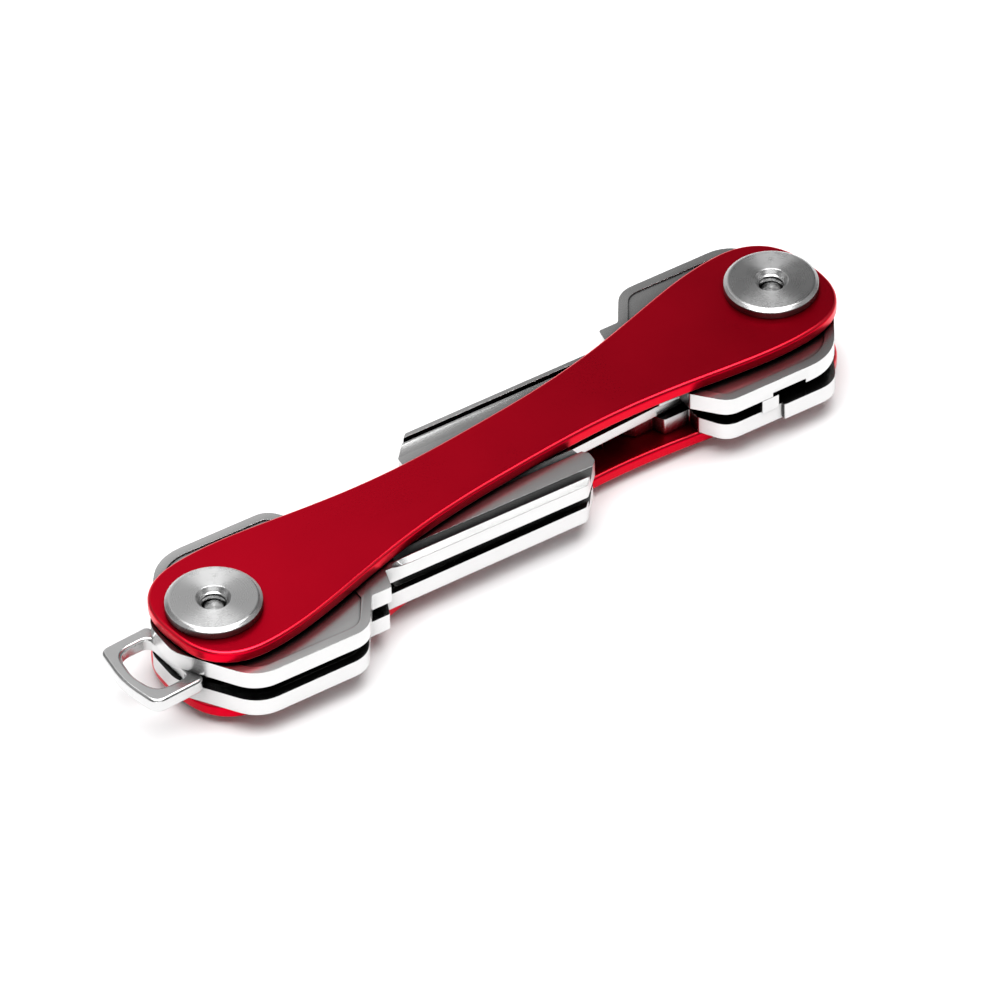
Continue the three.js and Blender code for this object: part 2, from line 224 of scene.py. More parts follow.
def plain_solid(name, outline, z0, z1):
    """A square-edged slab with no rounding, for joining and cutting."""
    count = len(outline)
    points = [(x * MM, y * MM, z0 * MM) for x, y in outline] + [(x * MM, y * MM, z1 * MM) for x, y in outline]
    faces = [tuple(range(count))[::-1], tuple(range(count, 2 * count))]
    faces += [(i, (i + 1) % count, (i + 1) % count + count, i + count) for i in range(count)]
    mesh = bpy.data.meshes.new(name)
    mesh.from_pydata(points, [], faces)
    return place(name, mesh)


def channel(name, section, x0, x1, run_in, steps=10):
    """A long cutter with the given (y, z) section. It rises out of the face over run_in, as a mill does."""
    top = max(z for _, z in section)
    rows = []
    for i in range(steps + 1):
        t = i / steps
        lift = 1 - math.sqrt(1 - (1 - t) ** 2)
        rows.append((x0 + run_in * t, lift))
    rows.append((x1, 0.0))
    points = []
    for x, lift in rows:
        for y, z in section:
            points.append((x * MM, y * MM, (z + (top - z) * lift * 0.98) * MM))
    count = len(section)
    faces = [tuple(range(count)), tuple(range(len(points) - count, len(points)))[::-1]]
    for r in range(len(rows) - 1):
        for i in range(count):
            j = (i + 1) % count
            a, b = r * count, (r + 1) * count
            faces.append((a + j, a + i, b + i, b + j))
    mesh = bpy.data.meshes.new(name)
    mesh.from_pydata(points, [], faces)
    mesh.update()
    obj = place(name, mesh)
    fix_winding(mesh)
    return obj


def set_on_post(obj, post, turn, z=0.0):
    """Moves a piece made about the origin to its post and height, turned about the post."""
    obj.location = (post * MM, 0, z * MM)
    obj.rotation_euler.z = math.radians(turn)
    bpy.context.view_layer.update()


def fix_winding(mesh):
    """Turns every face of a closed mesh outwards."""
    work = bmesh.new()
    work.from_mesh(mesh)
    bmesh.ops.recalc_face_normals(work, faces=work.faces)
    work.to_mesh(mesh)
    work.free()


def combine(obj, others, operation):
    """Joins the others to obj, or cuts them out of it, and removes them."""
    for other in others:
        modifier = obj.modifiers.new("combine", "BOOLEAN")
        modifier.operation = operation
        modifier.solver = "EXACT"
        modifier.object = other
        graph = bpy.context.evaluated_depsgraph_get()
        mesh = bpy.data.meshes.new_from_object(obj.evaluated_get(graph))
        obj.modifiers.clear()
        obj.data = mesh
        bpy.data.objects.remove(other)


def crisp(obj, angle=30.0):
    """Smooth curved walls between edges that stay sharp."""
    obj.data.polygons.foreach_set("use_smooth", [True] * len(obj.data.polygons))
    obj.data.set_sharp_from_angle(angle=math.radians(angle))


# ---------------------------------------------------------------- materials


def set_stops(node, stops):
    """Gives a colour ramp node its (position, grey) stops."""
    elements = node.color_ramp.elements
    for element, (position, grey) in zip(elements, (stops[0], stops[-1])):
        element.position = position
        element.color = (grey, grey, grey, 1)
    for position, grey in stops[1:-1]:
        elements.new(position).color = (grey, grey, grey, 1)


class Surface:
    """A node material with a Principled shader and short names for the nodes it needs."""

    def __init__(self, name, **sockets):
        self.material = bpy.data.materials.new(name)
        self.material.use_nodes = True
        self.nodes = self.material.node_tree.nodes
        self.links = self.material.node_tree.links
        self.shader = self.nodes["Principled BSDF"]
        for socket, value in sockets.items():
            self.shader.inputs[socket.replace("_", " ")].default_value = value
        self.coords = self.nodes.new("ShaderNodeTexCoord").outputs["Object"]

    def stretched(self, scale):
        """Object coordinates scaled by a vector, so that noise runs along one direction."""
        node = self.nodes.new("ShaderNodeMapping")
        node.inputs["Scale"].default_value = scale
        self.links.new(self.coords, node.inputs["Vector"])
        return node.outputs["Vector"]

    def noise(self, scale, detail=3.0, roughness=0.5, vector=None):
        node = self.nodes.new("ShaderNodeTexNoise")
        node.inputs["Scale"].default_value = scale
        node.inputs["Detail"].default_value = detail
        node.inputs["Roughness"].default_value = roughness
        self.links.new(vector or self.coords, node.inputs["Vector"])
        return node.outputs["Fac"]

    def ramp(self, value, stops):
        """Maps a value through (position, grey) stops."""
        node = self.nodes.new("ShaderNodeValToRGB")
        set_stops(node, stops)
        self.links.new(value, node.inputs["Fac"])
        return node.outputs["Color"]

    def math(self, operation, a, b):
        node = self.nodes.new("ShaderNodeMath")
        node.operation = operation
        for socket, value in zip(node.inputs, (a, b)):
            if isinstance(value, (int, float)):
                socket.default_value = value
            else:
                self.links.new(value, socket)
        return node.outputs["Value"]

    def blend(self, factor, a, b):
        """A mix of two colours, each of them a fixed one or a node's."""
        node = self.nodes.new("ShaderNodeMix")
        node.data_type = "RGBA"
        for socket, colour in (("A", a), ("B", b)):
            if isinstance(colour, tuple):
                node.inputs[socket].default_value = (*colour, 1)
            else:
                self.links.new(colour, node.inputs[socket])
        self.links.new(factor, node.inputs["Factor"])
        return node.outputs["Result"]

    def edges(self, low=0.52, high=0.60):
        """1 along convex edges, 0 elsewhere: the mask for a painted highlight along them."""
        geometry = self.nodes.new("ShaderNodeNewGeometry")
        return self.ramp(geometry.outputs["Pointiness"], [(low, 0.0), (high, 1.0)])

    def facing(self, stops):
        """A value by how far the surface faces up in the piece's own frame: 1 is a top face, 0 a side."""
        node = self.nodes.new("ShaderNodeTexCoord")
        split = self.nodes.new("ShaderNodeSeparateXYZ")
        self.links.new(node.outputs["Normal"], split.inputs["Vector"])
        return self.ramp(split.outputs["Z"], stops)

    def shade(self, colour, reach_mm, stops):
        """Painted shade: darkens a colour by how hidden each point is, in gaps and grooves and beside parts
        that overhang it.
        """
        hidden = self.nodes.new("ShaderNodeAmbientOcclusion")
        hidden.samples = 6
        hidden.inputs["Distance"].default_value = reach_mm * MM
        node = self.nodes.new("ShaderNodeMix")
        node.data_type = "RGBA"
        node.inputs["A"].default_value = (0.0, 0.0, 0.0, 1)
        self.links.new(colour, node.inputs["B"])
        self.links.new(self.ramp(hidden.outputs["AO"], stops), node.inputs["Factor"])
        return node.outputs["Result"]

    def bump(self, height, distance_mm, edge_mm=0.0):
        """Fine relief, and with edge_mm every sharp edge rounded by that radius."""
        node = self.nodes.new("ShaderNodeBump")
        if edge_mm > 0:
            rounding = self.nodes.new("ShaderNodeBevel")
            rounding.samples = 4
            rounding.inputs["Radius"].default_value = edge_mm * MM
            self.links.new(rounding.outputs["Normal"], node.inputs["Normal"])
        node.inputs["Distance"].default_value = distance_mm * MM
        self.links.new(height, node.inputs["Height"])
        self.links.new(node.outputs["Normal"], self.shader.inputs["Normal"])

    def to(self, socket, value):
        self.links.new(value, self.shader.inputs[socket])


def anodised_red():
    """Satin anodised aluminium, blasted before dyeing. Its colour is painted a paler pink along its rounded
    edges as a highlight, and painted darker in gaps as shade.
    """
    s = Surface("anodised_red", Metallic=1.0)
    cloud = s.noise(90, 4)
    grain = s.noise(9000, 2)
    # Painted highlight: faces tilted like the rounded edges get a paler pink, broken up by noise.
    edge = s.facing([(0.45, 0.0), (0.7, 1.0), (0.88, 1.0), (0.98, 0.0)])
    edge_highlight = s.math("MULTIPLY", edge, s.ramp(s.noise(260, 3), [(0.25, 0.75), (0.7, 1.0)]))
    dye_and_highlight = s.blend(edge_highlight, (0.64, 0.0, 0.016), (0.92, 0.035, 0.06))
    # Painted shade: the red goes dark in gaps and next to parts that overhang it.
    s.to("Base Color", s.shade(dye_and_highlight, 1.2, [(0.05, 0.04), (0.75, 1.0)]))
    s.to("Roughness", s.ramp(s.math("ADD", s.math("MULTIPLY", cloud, 0.5), s.math("MULTIPLY", grain, 0.5)),
                             [(0.3, 0.26), (0.7, 0.34)]))
    s.bump(grain, 0.0006)
    return s.material


def turned_steel():
    """Steel faced on a lathe: fine rings about the piece's own axis, which give it its radial sheen. Its
    sides are painted dark as shade, and it is painted darker in gaps.
    """
    s = Surface("turned_steel", Metallic=1.0, Anisotropic=0.85, Anisotropic_Rotation=0.25)
    tangent = s.nodes.new("ShaderNodeTangent")
    tangent.direction_type = "RADIAL"
    tangent.axis = "Z"
    s.links.new(tangent.outputs["Tangent"], s.shader.inputs["Tangent"])
    split = s.nodes.new("ShaderNodeSeparateXYZ")
    s.links.new(s.coords, split.inputs["Vector"])
    x2 = s.math("MULTIPLY", split.outputs["X"], split.outputs["X"])
    y2 = s.math("MULTIPLY", split.outputs["Y"], split.outputs["Y"])
    radius = s.math("POWER", s.math("ADD", x2, y2), 0.5)
    rings = s.nodes.new("ShaderNodeTexNoise")
    rings.noise_dimensions = "1D"
    rings.inputs["Scale"].default_value = 16000
    rings.inputs["Detail"].default_value = 2
    s.links.new(radius, rings.inputs["W"])
    cloud = s.noise(500, 3)
    tone = s.math("ADD", s.math("MULTIPLY", rings.outputs["Fac"], 0.3), s.math("MULTIPLY", cloud, 0.7))
    steel = s.blend(tone, (0.60, 0.60, 0.60), (0.70, 0.70, 0.70))
    # Painted shade: faces that stand upright, such as the heads' sides, are painted nearly black.
    side = s.facing([(0.0, 0.14), (0.35, 0.24), (0.62, 1.0)])
    steel = s.blend(side, (0.0, 0.0, 0.0), steel)
    # Painted shade in gaps, by how hidden each point is.
    s.to("Base Color", s.shade(steel, 1.6, [(0.15, 0.06), (0.8, 1.0)]))
    s.to("Roughness", s.ramp(tone, [(0.3, 0.24), (0.7, 0.32)]))
    return s.material


def key_steel():
    """Nickel-plated key blank: rolled faces with fine drawn lines, a little dulled by handling, with a
    painted highlight along its edges and painted shade in gaps and under the plates.
    """
    s = Surface("key_steel", Metallic=1.0)
    drawn = s.noise(900, 4, 0.6, s.stretched((0.10, 1.0, 1.0)))
    cloud = s.noise(180, 3)
    nicks = s.ramp(s.noise(1500, 2, 0.6), [(0.70, 0.0), (0.78, 1.0)])
    tone = s.math("ADD", s.math("MULTIPLY", drawn, 0.4), s.math("MULTIPLY", cloud, 0.6))
    # Painted highlight: lighter along convex edges.
    tone = s.math("ADD", tone, s.math("MULTIPLY", s.edges(), 0.3))
    tone = s.math("SUBTRACT", tone, s.math("MULTIPLY", nicks, 0.2))
    steel = s.blend(tone, (0.60, 0.597, 0.595), (0.72, 0.717, 0.715))
    # Painted shade: nearly black in gaps and grooves and where the plates overhang the keys.
    s.to("Base Color", s.shade(steel, 2.6, [(0.20, 0.02), (0.55, 0.05), (0.74, 0.45), (0.90, 1.0)]))
    s.to("Roughness", s.math("ADD", s.math("MULTIPLY", tone, 0.12), 0.16))
    s.bump(s.math("SUBTRACT", s.math("MULTIPLY", drawn, 0.25), nicks), 0.0008, 0.07)
    return s.material


def loop_steel():
    """Tumbled satin steel with soft edges, a painted highlight along them and painted shade in gaps."""
    s = Surface("loop_steel", Metallic=1.0)
    cloud = s.noise(300, 4)
    grain = s.noise(6000, 2)
    # Painted highlight: lighter along convex edges.
    tone = s.math("ADD", s.math("MULTIPLY", cloud, 0.6), s.math("MULTIPLY", s.edges(), 0.4))
    steel = s.blend(tone, (0.60, 0.60, 0.60), (0.71, 0.71, 0.71))
    # Painted shade in gaps, by how hidden each point is.
    s.to("Base Color", s.shade(steel, 1.2, [(0.10, 0.05), (0.7, 1.0)]))
    s.to("Roughness", s.ramp(s.math("ADD", s.math("MULTIPLY", cloud, 0.5), s.math("MULTIPLY", grain, 0.5)),
                             [(0.3, 0.20), (0.7, 0.28)]))
    s.bump(grain, 0.0004)
    return s.material


def nylon():
    s = Surface("nylon", Roughness=0.5)
    cloud = s.noise(800, 3)
    s.to("Base Color", s.blend(cloud, (0.70, 0.69, 0.64), (0.82, 0.81, 0.77)))
    s.to("Roughness", s.ramp(cloud, [(0.3, 0.42), (0.7, 0.58)]))
    s.bump(s.noise(5000, 2), 0.002)
    return s.material


def shim_steel():
    s = Surface("shim_steel", Metallic=1.0)
    drawn = s.noise(1500, 3, 0.6, s.stretched((0.1, 1.0, 1.0)))
    s.to("Base Color", s.blend(drawn, (0.30, 0.30, 0.29), (0.42, 0.42, 0.41)))
    s.to("Roughness", s.ramp(drawn, [(0.3, 0.28), (0.7, 0.45)]))
    s.bump(drawn, 0.001)
    return s.material


RED = anodised_red()
TURNED = turned_steel()
KEY = key_steel()
LOOP = loop_steel()
NYLON = nylon()
SHIM = shim_steel()


def finish_piece(piece, node, body, material):
    piece.data.materials.clear()
    piece.data.materials.append(material)
    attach(piece, body)
    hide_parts(node)


# ---------------------------------------------------------------- plates

PLATE_LENGTH = span("front_plate", 0)[1] - span("front_plate", 0)[0]
PLATE_HALF_WIDTH = span("front_plate", 1)[1]
WAIST_HALF_WIDTH = 3.89
WIDEST_AT = 33.7
FLARE = 1.5
END_POWER = 2.6
END_STEPS = 72
WAIST_STEPS = 90
PLATE_HOLE = 3.05
WASHER_POCKET = (5.0, 0.36)
PLATE_ROUNDING = 0.38


def plate_outline():
    """A super-ellipse round each end and a smooth waist between them."""
    points = []
    reach = PLATE_LENGTH / 2 - WIDEST_AT
    for side in (1, -1):
        for i in range(END_STEPS):
            a = math.pi * (i / END_STEPS - 0.5)
            x = reach * abs(math.cos(a)) ** (2 / END_POWER)
            y = PLATE_HALF_WIDTH * math.copysign(abs(math.sin(a)) ** (2 / END_POWER), a)
            points.append((side * (WIDEST_AT + x), side * y))
        for i in range(WAIST_STEPS):
            x = WIDEST_AT * (1 - 2 * i / WAIST_STEPS)
            along = (abs(x) / WIDEST_AT) ** FLARE
            half = WAIST_HALF_WIDTH + (PLATE_HALF_WIDTH - WAIST_HALF_WIDTH) * along * along * (3 - 2 * along)
            points.append((side * x, side * half))
    return points


def plate(node, inner_is_low):
    """One plate with its two post holes, each with a washer pocket on the inner side."""
    z0, z1 = span(node, 2)
    shell = Shell()
    outer = sweep(shell, plate_outline(), edge_profile(z0, z1, PLATE_ROUNDING, 6))
    low, high = [outer[0]], [outer[1]]
    pocket, depth = WASHER_POCKET
    for x in (LEFT_POST, RIGHT_POST):
        if inner_is_low:
            steps = [(pocket, z0), (pocket, z0 + depth), (PLATE_HOLE, z0 + depth), (PLATE_HOLE, z1)]
        else:
            steps = [(PLATE_HOLE, z0), (PLATE_HOLE, z1 - depth), (pocket, z1 - depth), (pocket, z1)]
        for (ra, za), (rb, zb) in zip(steps, steps[1:]):
            a = shell.add([(px, py, za) for px, py in circle(ra, x=x, clockwise=True)])
            b = shell.add([(px, py, zb) for px, py in circle(rb, x=x, clockwise=True)])
            if ra == rb:
                wall = [(x - px, -py, 0) for px, py in circle(ra, x=x, clockwise=True)]
            else:
                wall = [(0, 0, -1 if inner_is_low else 1)] * ROUND
            shell.strip(a, b, wall, wall)
            if za == z0:
                low.append(a)
            if zb == z1:
                high.append(b)
    shell.cap(low, up=False)
    shell.cap(high, up=True)
    piece = shell.build(node + "_anodised")
    finish_piece(piece, node, "frame", RED)


plate("front_plate", inner_is_low=True)
plate("back_plate", inner_is_low=False)

# ---------------------------------------------------------------- posts and screws

POST_RADIUS = 2.95
HEAD_EDGE = 0.3
THREAD = {"bore": 1.4, "crest": 1.21, "pitch": 0.7, "chamfer": 1.75, "deep": 1.5}
THREAD_LEVELS = 36
SHANK_RADIUS = 1.3
SLOT = {"half_width": 0.65, "depth": 0.6}


def thread_radius(angle, z, top, bottom):
    """The threaded bore's radius, a rounded ridge that climbs one pitch a turn and fades at both ends."""
    turns = z / THREAD["pitch"] - angle / (2 * math.pi)
    ridge = 0.5 + 0.5 * math.cos(2 * math.pi * turns)
    fade = min(1, max(0, (top - z) / 0.12)) * min(1, max(0, (z - bottom) / 0.1))
    return THREAD["bore"] - (THREAD["bore"] - THREAD["crest"]) * ridge ** 0.8 * fade


def barrel_nut(side, x):
    """A post with its head over the front plate and a threaded hole down from the head's face."""
    node = side + "_barrel_nut"
    z0, z1 = span(node, 2)
    head_radius = (span(node, 0)[1] - span(node, 0)[0]) / 2
    head_base = span("front_plate", 2)[1] + TOUCH
    shell = Shell()
    chamfer_depth = THREAD["chamfer"] - THREAD["bore"] + 0.1
    turned(shell, [
        (THREAD["bore"], z0, 0),
        (POST_RADIUS, z0, 0.1),
        (POST_RADIUS, head_base, 0.0),
        (head_radius, head_base, 0.08),
        (head_radius, z1 - HEAD_EDGE, 0.08),
        (head_radius - HEAD_EDGE - 0.1, z1, 0.16),
        (THREAD["chamfer"], z1, 0.05),
        (THREAD["bore"], z1 - chamfer_depth, 0),
    ])
    top, bottom = z1 - chamfer_depth, z1 - THREAD["deep"]
    step = 0.01
    grid = []
    for i in range(THREAD_LEVELS + 1):
        z = top - (top - bottom) * i / THREAD_LEVELS
        points, normals = [], []
        for k in range(ROUND):
            a = 2 * math.pi * k / ROUND
            r = thread_radius(a, z, top, bottom)
            above, below = thread_radius(a, z + step, top, bottom), thread_radius(a, z - step, top, bottom)
            slope = (above - below) / (2 * step)
            points.append((r * math.cos(a), r * math.sin(a), z))
            normals.append((-math.cos(a), -math.sin(a), slope))
        grid.append((shell.add(points), normals))
    lower = shell.add([(px, py, z0) for px, py in circle(THREAD["bore"])])
    grid.append((lower, [(-px, -py, 0) for px, py in circle(1.0)]))
    for (a, normals_a), (b, normals_b) in zip(grid, grid[1:]):
        shell.strip(a, b, normals_a, normals_b)
    piece = shell.build(node + "_turned", (x, 0, 0))
    finish_piece(piece, node, "frame", TURNED)


def screw(side, x):
    """A screw with a flat slotted head under the back plate and its rounded tip in the post's bore."""
    node = side + "_screw"
    z0, z1 = span(node, 2)
    head_radius = (span(node, 0)[1] - span(node, 0)[0]) / 2
    head_top = span("back_plate", 2)[0] - TOUCH
    shell = Shell()
    turned(shell, [
        (0.0001, z0, 0),
        (head_radius - HEAD_EDGE - 0.1, z0, 0.16),
        (head_radius, z0 + HEAD_EDGE, 0.08),
        (head_radius, head_top, 0.06),
        (SHANK_RADIUS, head_top, 0),
        (SHANK_RADIUS, z1 - 0.55, 0),
        (SHANK_RADIUS - 0.14, z1 - 0.45, 0.03),
        (SHANK_RADIUS - 0.02, z1 - 0.3, 0.03),
        (SHANK_RADIUS - 0.3, z1, 0.12),
        (0.0001, z1, 0),
    ], ROUND)
    piece = shell.build(node + "_turned", (x, 0, 0))
    half, long = SLOT["half_width"], head_radius + LAP
    box = [(-half, -long), (half, -long), (half, long), (-half, long)]
    cutter = plain_solid("slot", box, z0 - LAP, z0 + SLOT["depth"])
    cutter.location.x = x * MM
    bpy.context.view_layer.update()
    combine(piece, [cutter], "DIFFERENCE")
    finish_piece(piece, node, "frame", TURNED)


for side, post in (("left", LEFT_POST), ("right", RIGHT_POST)):
    barrel_nut(side, post)
    screw(side, post)

for side in ("left", "right"):
    for end in ("front", "back"):
        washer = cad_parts[f"{side}_{end}_washer"]
        for material_slot in washer.material_slots:
            material_slot.material = NYLON
    for level in ("upper", "lower"):
        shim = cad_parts[f"{side}_{level}_shim"]
        for material_slot in shim.material_slots:
            material_slot.material = SHIM

# ---------------------------------------------------------------- keys

KEY_THICKNESS = span("left_upper_key", 2)[1] - span("left_upper_key", 2)[0]
PIVOT_HOLE = 3.03
RIM = 1.0
RECESS = 0.14
NECK = {"start": 14.9, "end": 17.2, "spine_side": -5.75, "cut_side": 5.6, "cut_corner": 7.5}
BLADE = {"spine": -3.4, "top": 4.6, "start": 17.5, "tip": 43.5}
CUTS = {"first": 21.5, "pitch": 3.96, "flat": 1.2}
KEY_CORNER = 0.1

# The grooves and ledges on top of a blade, each as a (y, z) section, its start along the blade and its
# run-in. A "spine" blade has a ledge along its back, a "plain" one only the grooves, and a "cut" one a
# ledge on the side of its cuts.
SPINE_LEDGE = ([(-3.9, 1.6), (-3.3, 1.6), (-2.74, 1.96), (-2.74, 2.3), (-3.9, 2.3)], 17.9, 2.4)
WIDE_GROOVE = ([(-2.66, 2.3), (-2.64, 1.05), (-2.3, 1.05), (-1.54, 1.88), (-1.5, 2.3)], 18.6, 2.4)
SHALLOW_GROOVE = ([(0.9, 2.3), (0.94, 1.55), (1.2, 1.55), (1.64, 1.9), (1.7, 2.3)], 18.4, 2.2)
NARROW_GROOVE = ([(-2.9, 2.3), (-2.88, 1.88), (-2.6, 1.2), (-2.3, 1.2), (-2.28, 2.3)], 18.4, 2.2)
CUT_LEDGE = ([(-2.2, 1.98), (-1.05, 1.56), (5.2, 1.56), (5.2, 2.3), (-2.2, 2.3)], 18.0, 2.0)
CHANNELS = {
    "spine": (SPINE_LEDGE, WIDE_GROOVE, SHALLOW_GROOVE),
    "plain": (WIDE_GROOVE, SHALLOW_GROOVE),
    "cut": (NARROW_GROOVE, CUT_LEDGE),
}
UNDERSIDE_GROOVE = {"x": 18.4, "y0": -0.75, "y1": 0.25, "depth": 0.65}
NOTCH = {"x0": 2.9, "x1": 6.85, "y": 9.7, "height": 0.5}
STEP = [(-2.6, 7.4, 0), (5.5, 7.4, 0), (5.5, 10.75, 0.15), (-0.8, 10.75, 4)]
KEYS = {
    "left_upper_key": {"turn": -7.9, "shorter": 0.4, "cuts": (1.6, 2.4, 1.2, 2.0, 1.5), "side": "spine"},
    "left_lower_key": {"turn": -7.3, "shorter": 0.7, "cuts": (1.2, 1.9, 2.4, 1.4, 2.1), "side": "plain"},
    "right_upper_key": {"turn": 172.6, "shorter": 0.1, "cuts": (2.1, 1.3, 1.8, 2.5, 1.2), "reach": 0.6,
                        "notch": True, "side": "cut"},
    "right_lower_key": {"turn": 172.6, "shorter": 1.1, "cuts": (1.4, 2.2, 1.5, 1.9, 2.3), "narrower": 0.35,
                        "stub": 0.7, "step": True, "side": "cut"},
}


def bow_corners(shorter, narrower):
    """The bow's outline, anticlockwise from its outer end. A shorter bow ends nearer to the post."""
    neck, side = NECK["start"] - shorter, 10.7 - narrower
    return [
        (-5.95, -2.0, 3.5),
        (-0.9, -9.7, 4.2),
        (12.3 - shorter, -9.7, 3.0),
        (neck, NECK["spine_side"], 0.5),
        (neck, NECK["cut_corner"], 0.5),
        (12.1, side, 2.4),
        (-0.6, side, 5.5),
        (-5.95, 2.4, 3.5),
    ]


def inset(corners, distance):
    """A convex anticlockwise outline moved inwards."""
    count = len(corners)
    lines = []
    for i, (x, y, _) in enumerate(corners):
        nx, ny = corners[(i + 1) % count][:2]
        normal = Vector((y - ny, nx - x)).normalized()
        lines.append((normal, normal.dot(Vector((x, y))) + distance))
    moved = []
    for i, (_, _, radius) in enumerate(corners):
        (a, da), (b, db) = lines[i - 1], lines[i]
        cross = a.x * b.y - a.y * b.x
        x, y = (da * b.y - db * a.y) / cross, (a.x * db - b.x * da) / cross
        moved.append((x, y, max(radius - distance, 0.3)))
    return moved


def cut_edge(depths):
    """The cuts along the blade's edge, from the tip back to the shoulder."""
    roots = [(CUTS["first"] + CUTS["pitch"] * i, BLADE["top"] - d) for i, d in enumerate(depths)]
    half = CUTS["flat"] / 2
    x, y = roots[-1]
    last_peak = BLADE["top"] - 1
    points = [(x + half + last_peak - y, last_peak, KEY_CORNER)]
    for i in range(len(roots) - 1, -1, -1):
        x, y = roots[i]
        points += [(x + half, y, KEY_CORNER), (x - half, y, KEY_CORNER)]
        if i > 0:
            rise = (CUTS["pitch"] - CUTS["flat"] - y + roots[i - 1][1]) / 2
            points.append((x - half - rise, y + rise, KEY_CORNER))
        else:
            points.append((x - half - BLADE["top"] + y, BLADE["top"], KEY_CORNER))
    return points


def key_outline(spec, bow, tip):
    shorter = spec["shorter"]
    stub = spec.get("stub", 0)
    shoulder = NECK["cut_side"] + stub / 2
    return rounded([
        *bow[:4],
        (NECK["end"] - shorter, NECK["spine_side"], 0.3),
        (BLADE["start"], BLADE["spine"], 0.15),
        (tip - 2.5, BLADE["spine"], 0.3),
        (tip - 0.1, -0.9, 0.5),
        (tip, 0.3, 0.5),
        (tip - 2.2, 2.9, 0.3),
        *cut_edge(spec["cuts"]),
        (BLADE["start"], BLADE["top"], 0.15),
        (NECK["end"] - shorter + stub, shoulder, 0.3),
        (NECK["start"] - shorter, shoulder, 0.2),
        *bow[4:],
    ])


def key(node):
    """A key in its own frame, post hole at the origin and blade along +x, put on its post."""
    spec = KEYS[node]
    tip = BLADE["tip"] + spec.get("reach", 0)
    bow = bow_corners(spec["shorter"], spec.get("narrower", 0))
    piece = plain_solid(node + "_plated", key_outline(spec, bow, tip), 0, KEY_THICKNESS)
    if spec.get("step"):
        combine(piece, [plain_solid("step", rounded(STEP), 0, KEY_THICKNESS)], "UNION")
    field = rounded(inset(bow, RIM))
    cutters = [
        plain_solid("hole", circle(PIVOT_HOLE), -LAP, KEY_THICKNESS + LAP),
        plain_solid("field", field, KEY_THICKNESS - RECESS, KEY_THICKNESS + LAP),
        plain_solid("field_below", field, -LAP, RECESS),
    ]
    past_tip = tip + 3
    for section, start, run_in in CHANNELS[spec["side"]]:
        cutters.append(channel("groove", section, start, past_tip, run_in))
    x, y0, y1 = (UNDERSIDE_GROOVE[k] for k in ("x", "y0", "y1"))
    below = [(x, y0), (past_tip, y0), (past_tip, y1), (x, y1)]
    cutters.append(plain_solid("groove_below", below, -LAP, UNDERSIDE_GROOVE["depth"]))
    if spec.get("notch"):
        x0, x1, y = (NOTCH[k] for k in ("x0", "x1", "y"))
        notch = [(x0, y), (x1, y), (x1, y + 2), (x0, y + 2)]
        cutters.append(plain_solid("notch", notch, -LAP, NOTCH["height"]))
    combine(piece, cutters, "DIFFERENCE")
    crisp(piece)
    post = LEFT_POST if node.startswith("left") else RIGHT_POST
    set_on_post(piece, post, spec["turn"], span(node, 2)[0])
    finish_piece(piece, node, node, KEY)


for node in KEYS:
    key(node)

# ---------------------------------------------------------------- loop and bottle opener

EYE_RADIUS = 5.2
LEAF_INSET = 0.22
LEAF = (span("bottle_opener", 2)[0] + LEAF_INSET, span("bottle_opener", 2)[1] - LEAF_INSET)
THIN_EDGE = 0.1

LOOP_TURN = 176.8
LOOP_ROUNDING = 0.36
LOOP_OUTLINE = [(4.6, -5.05, 0.8), (10.45, -5.05, 1.2), (11.3, 0, 12), (10.5, 4.8, 1.5), (4.6, 4.8, 0.8)]
LOOP_HOLE = [(5.6, 3.3, 0.9), (9.3, 3.3, 2.0), (9.95, 0, 5), (9.3, -3.55, 1.8), (5.6, -3.55, 0.9)]

OPENER_TURN = 176.4
OPENER = {"half_width": 4.05, "length": 46}
OPENER_BITE = {"radius": 3.4, "x": 37, "y": -4.9}
TAB = {"x0": 6.8, "x1": 8.8, "root": 1, "fat_from": 5.6, "corner": 0.12}
TAB_REACH = {"x0": 10.27, "x1": 10.14}


def loop_piece():
    """The thick ring outside the plates, and the thin eye that holds it on the post."""
    node = "loop_piece"
    z0, z1 = span(node, 2)
    ring = Shell()
    slab(ring, rounded(LOOP_OUTLINE, 14), [rounded(LOOP_HOLE, 12)], z0, z1, LOOP_ROUNDING)
    piece = ring.build(node + "_satin", (LEFT_POST, 0, 0), LOOP_TURN)
    finish_piece(piece, node, "loop", LOOP)
    eye = Shell()
    slab(eye, circle(EYE_RADIUS), [circle(PIVOT_HOLE, clockwise=True)], *LEAF, THIN_EDGE)
    piece = eye.build(node + "_eye", (LEFT_POST, 0, 0), LOOP_TURN)
    finish_piece(piece, node, "loop", LOOP)


def tab_outline(root):
    return rounded([
        (TAB["x0"], root, 0),
        (TAB["x1"], root, 0),
        (TAB["x1"], TAB_REACH["x1"], TAB["corner"]),
        (TAB["x0"], TAB_REACH["x0"], TAB["corner"]),
    ])


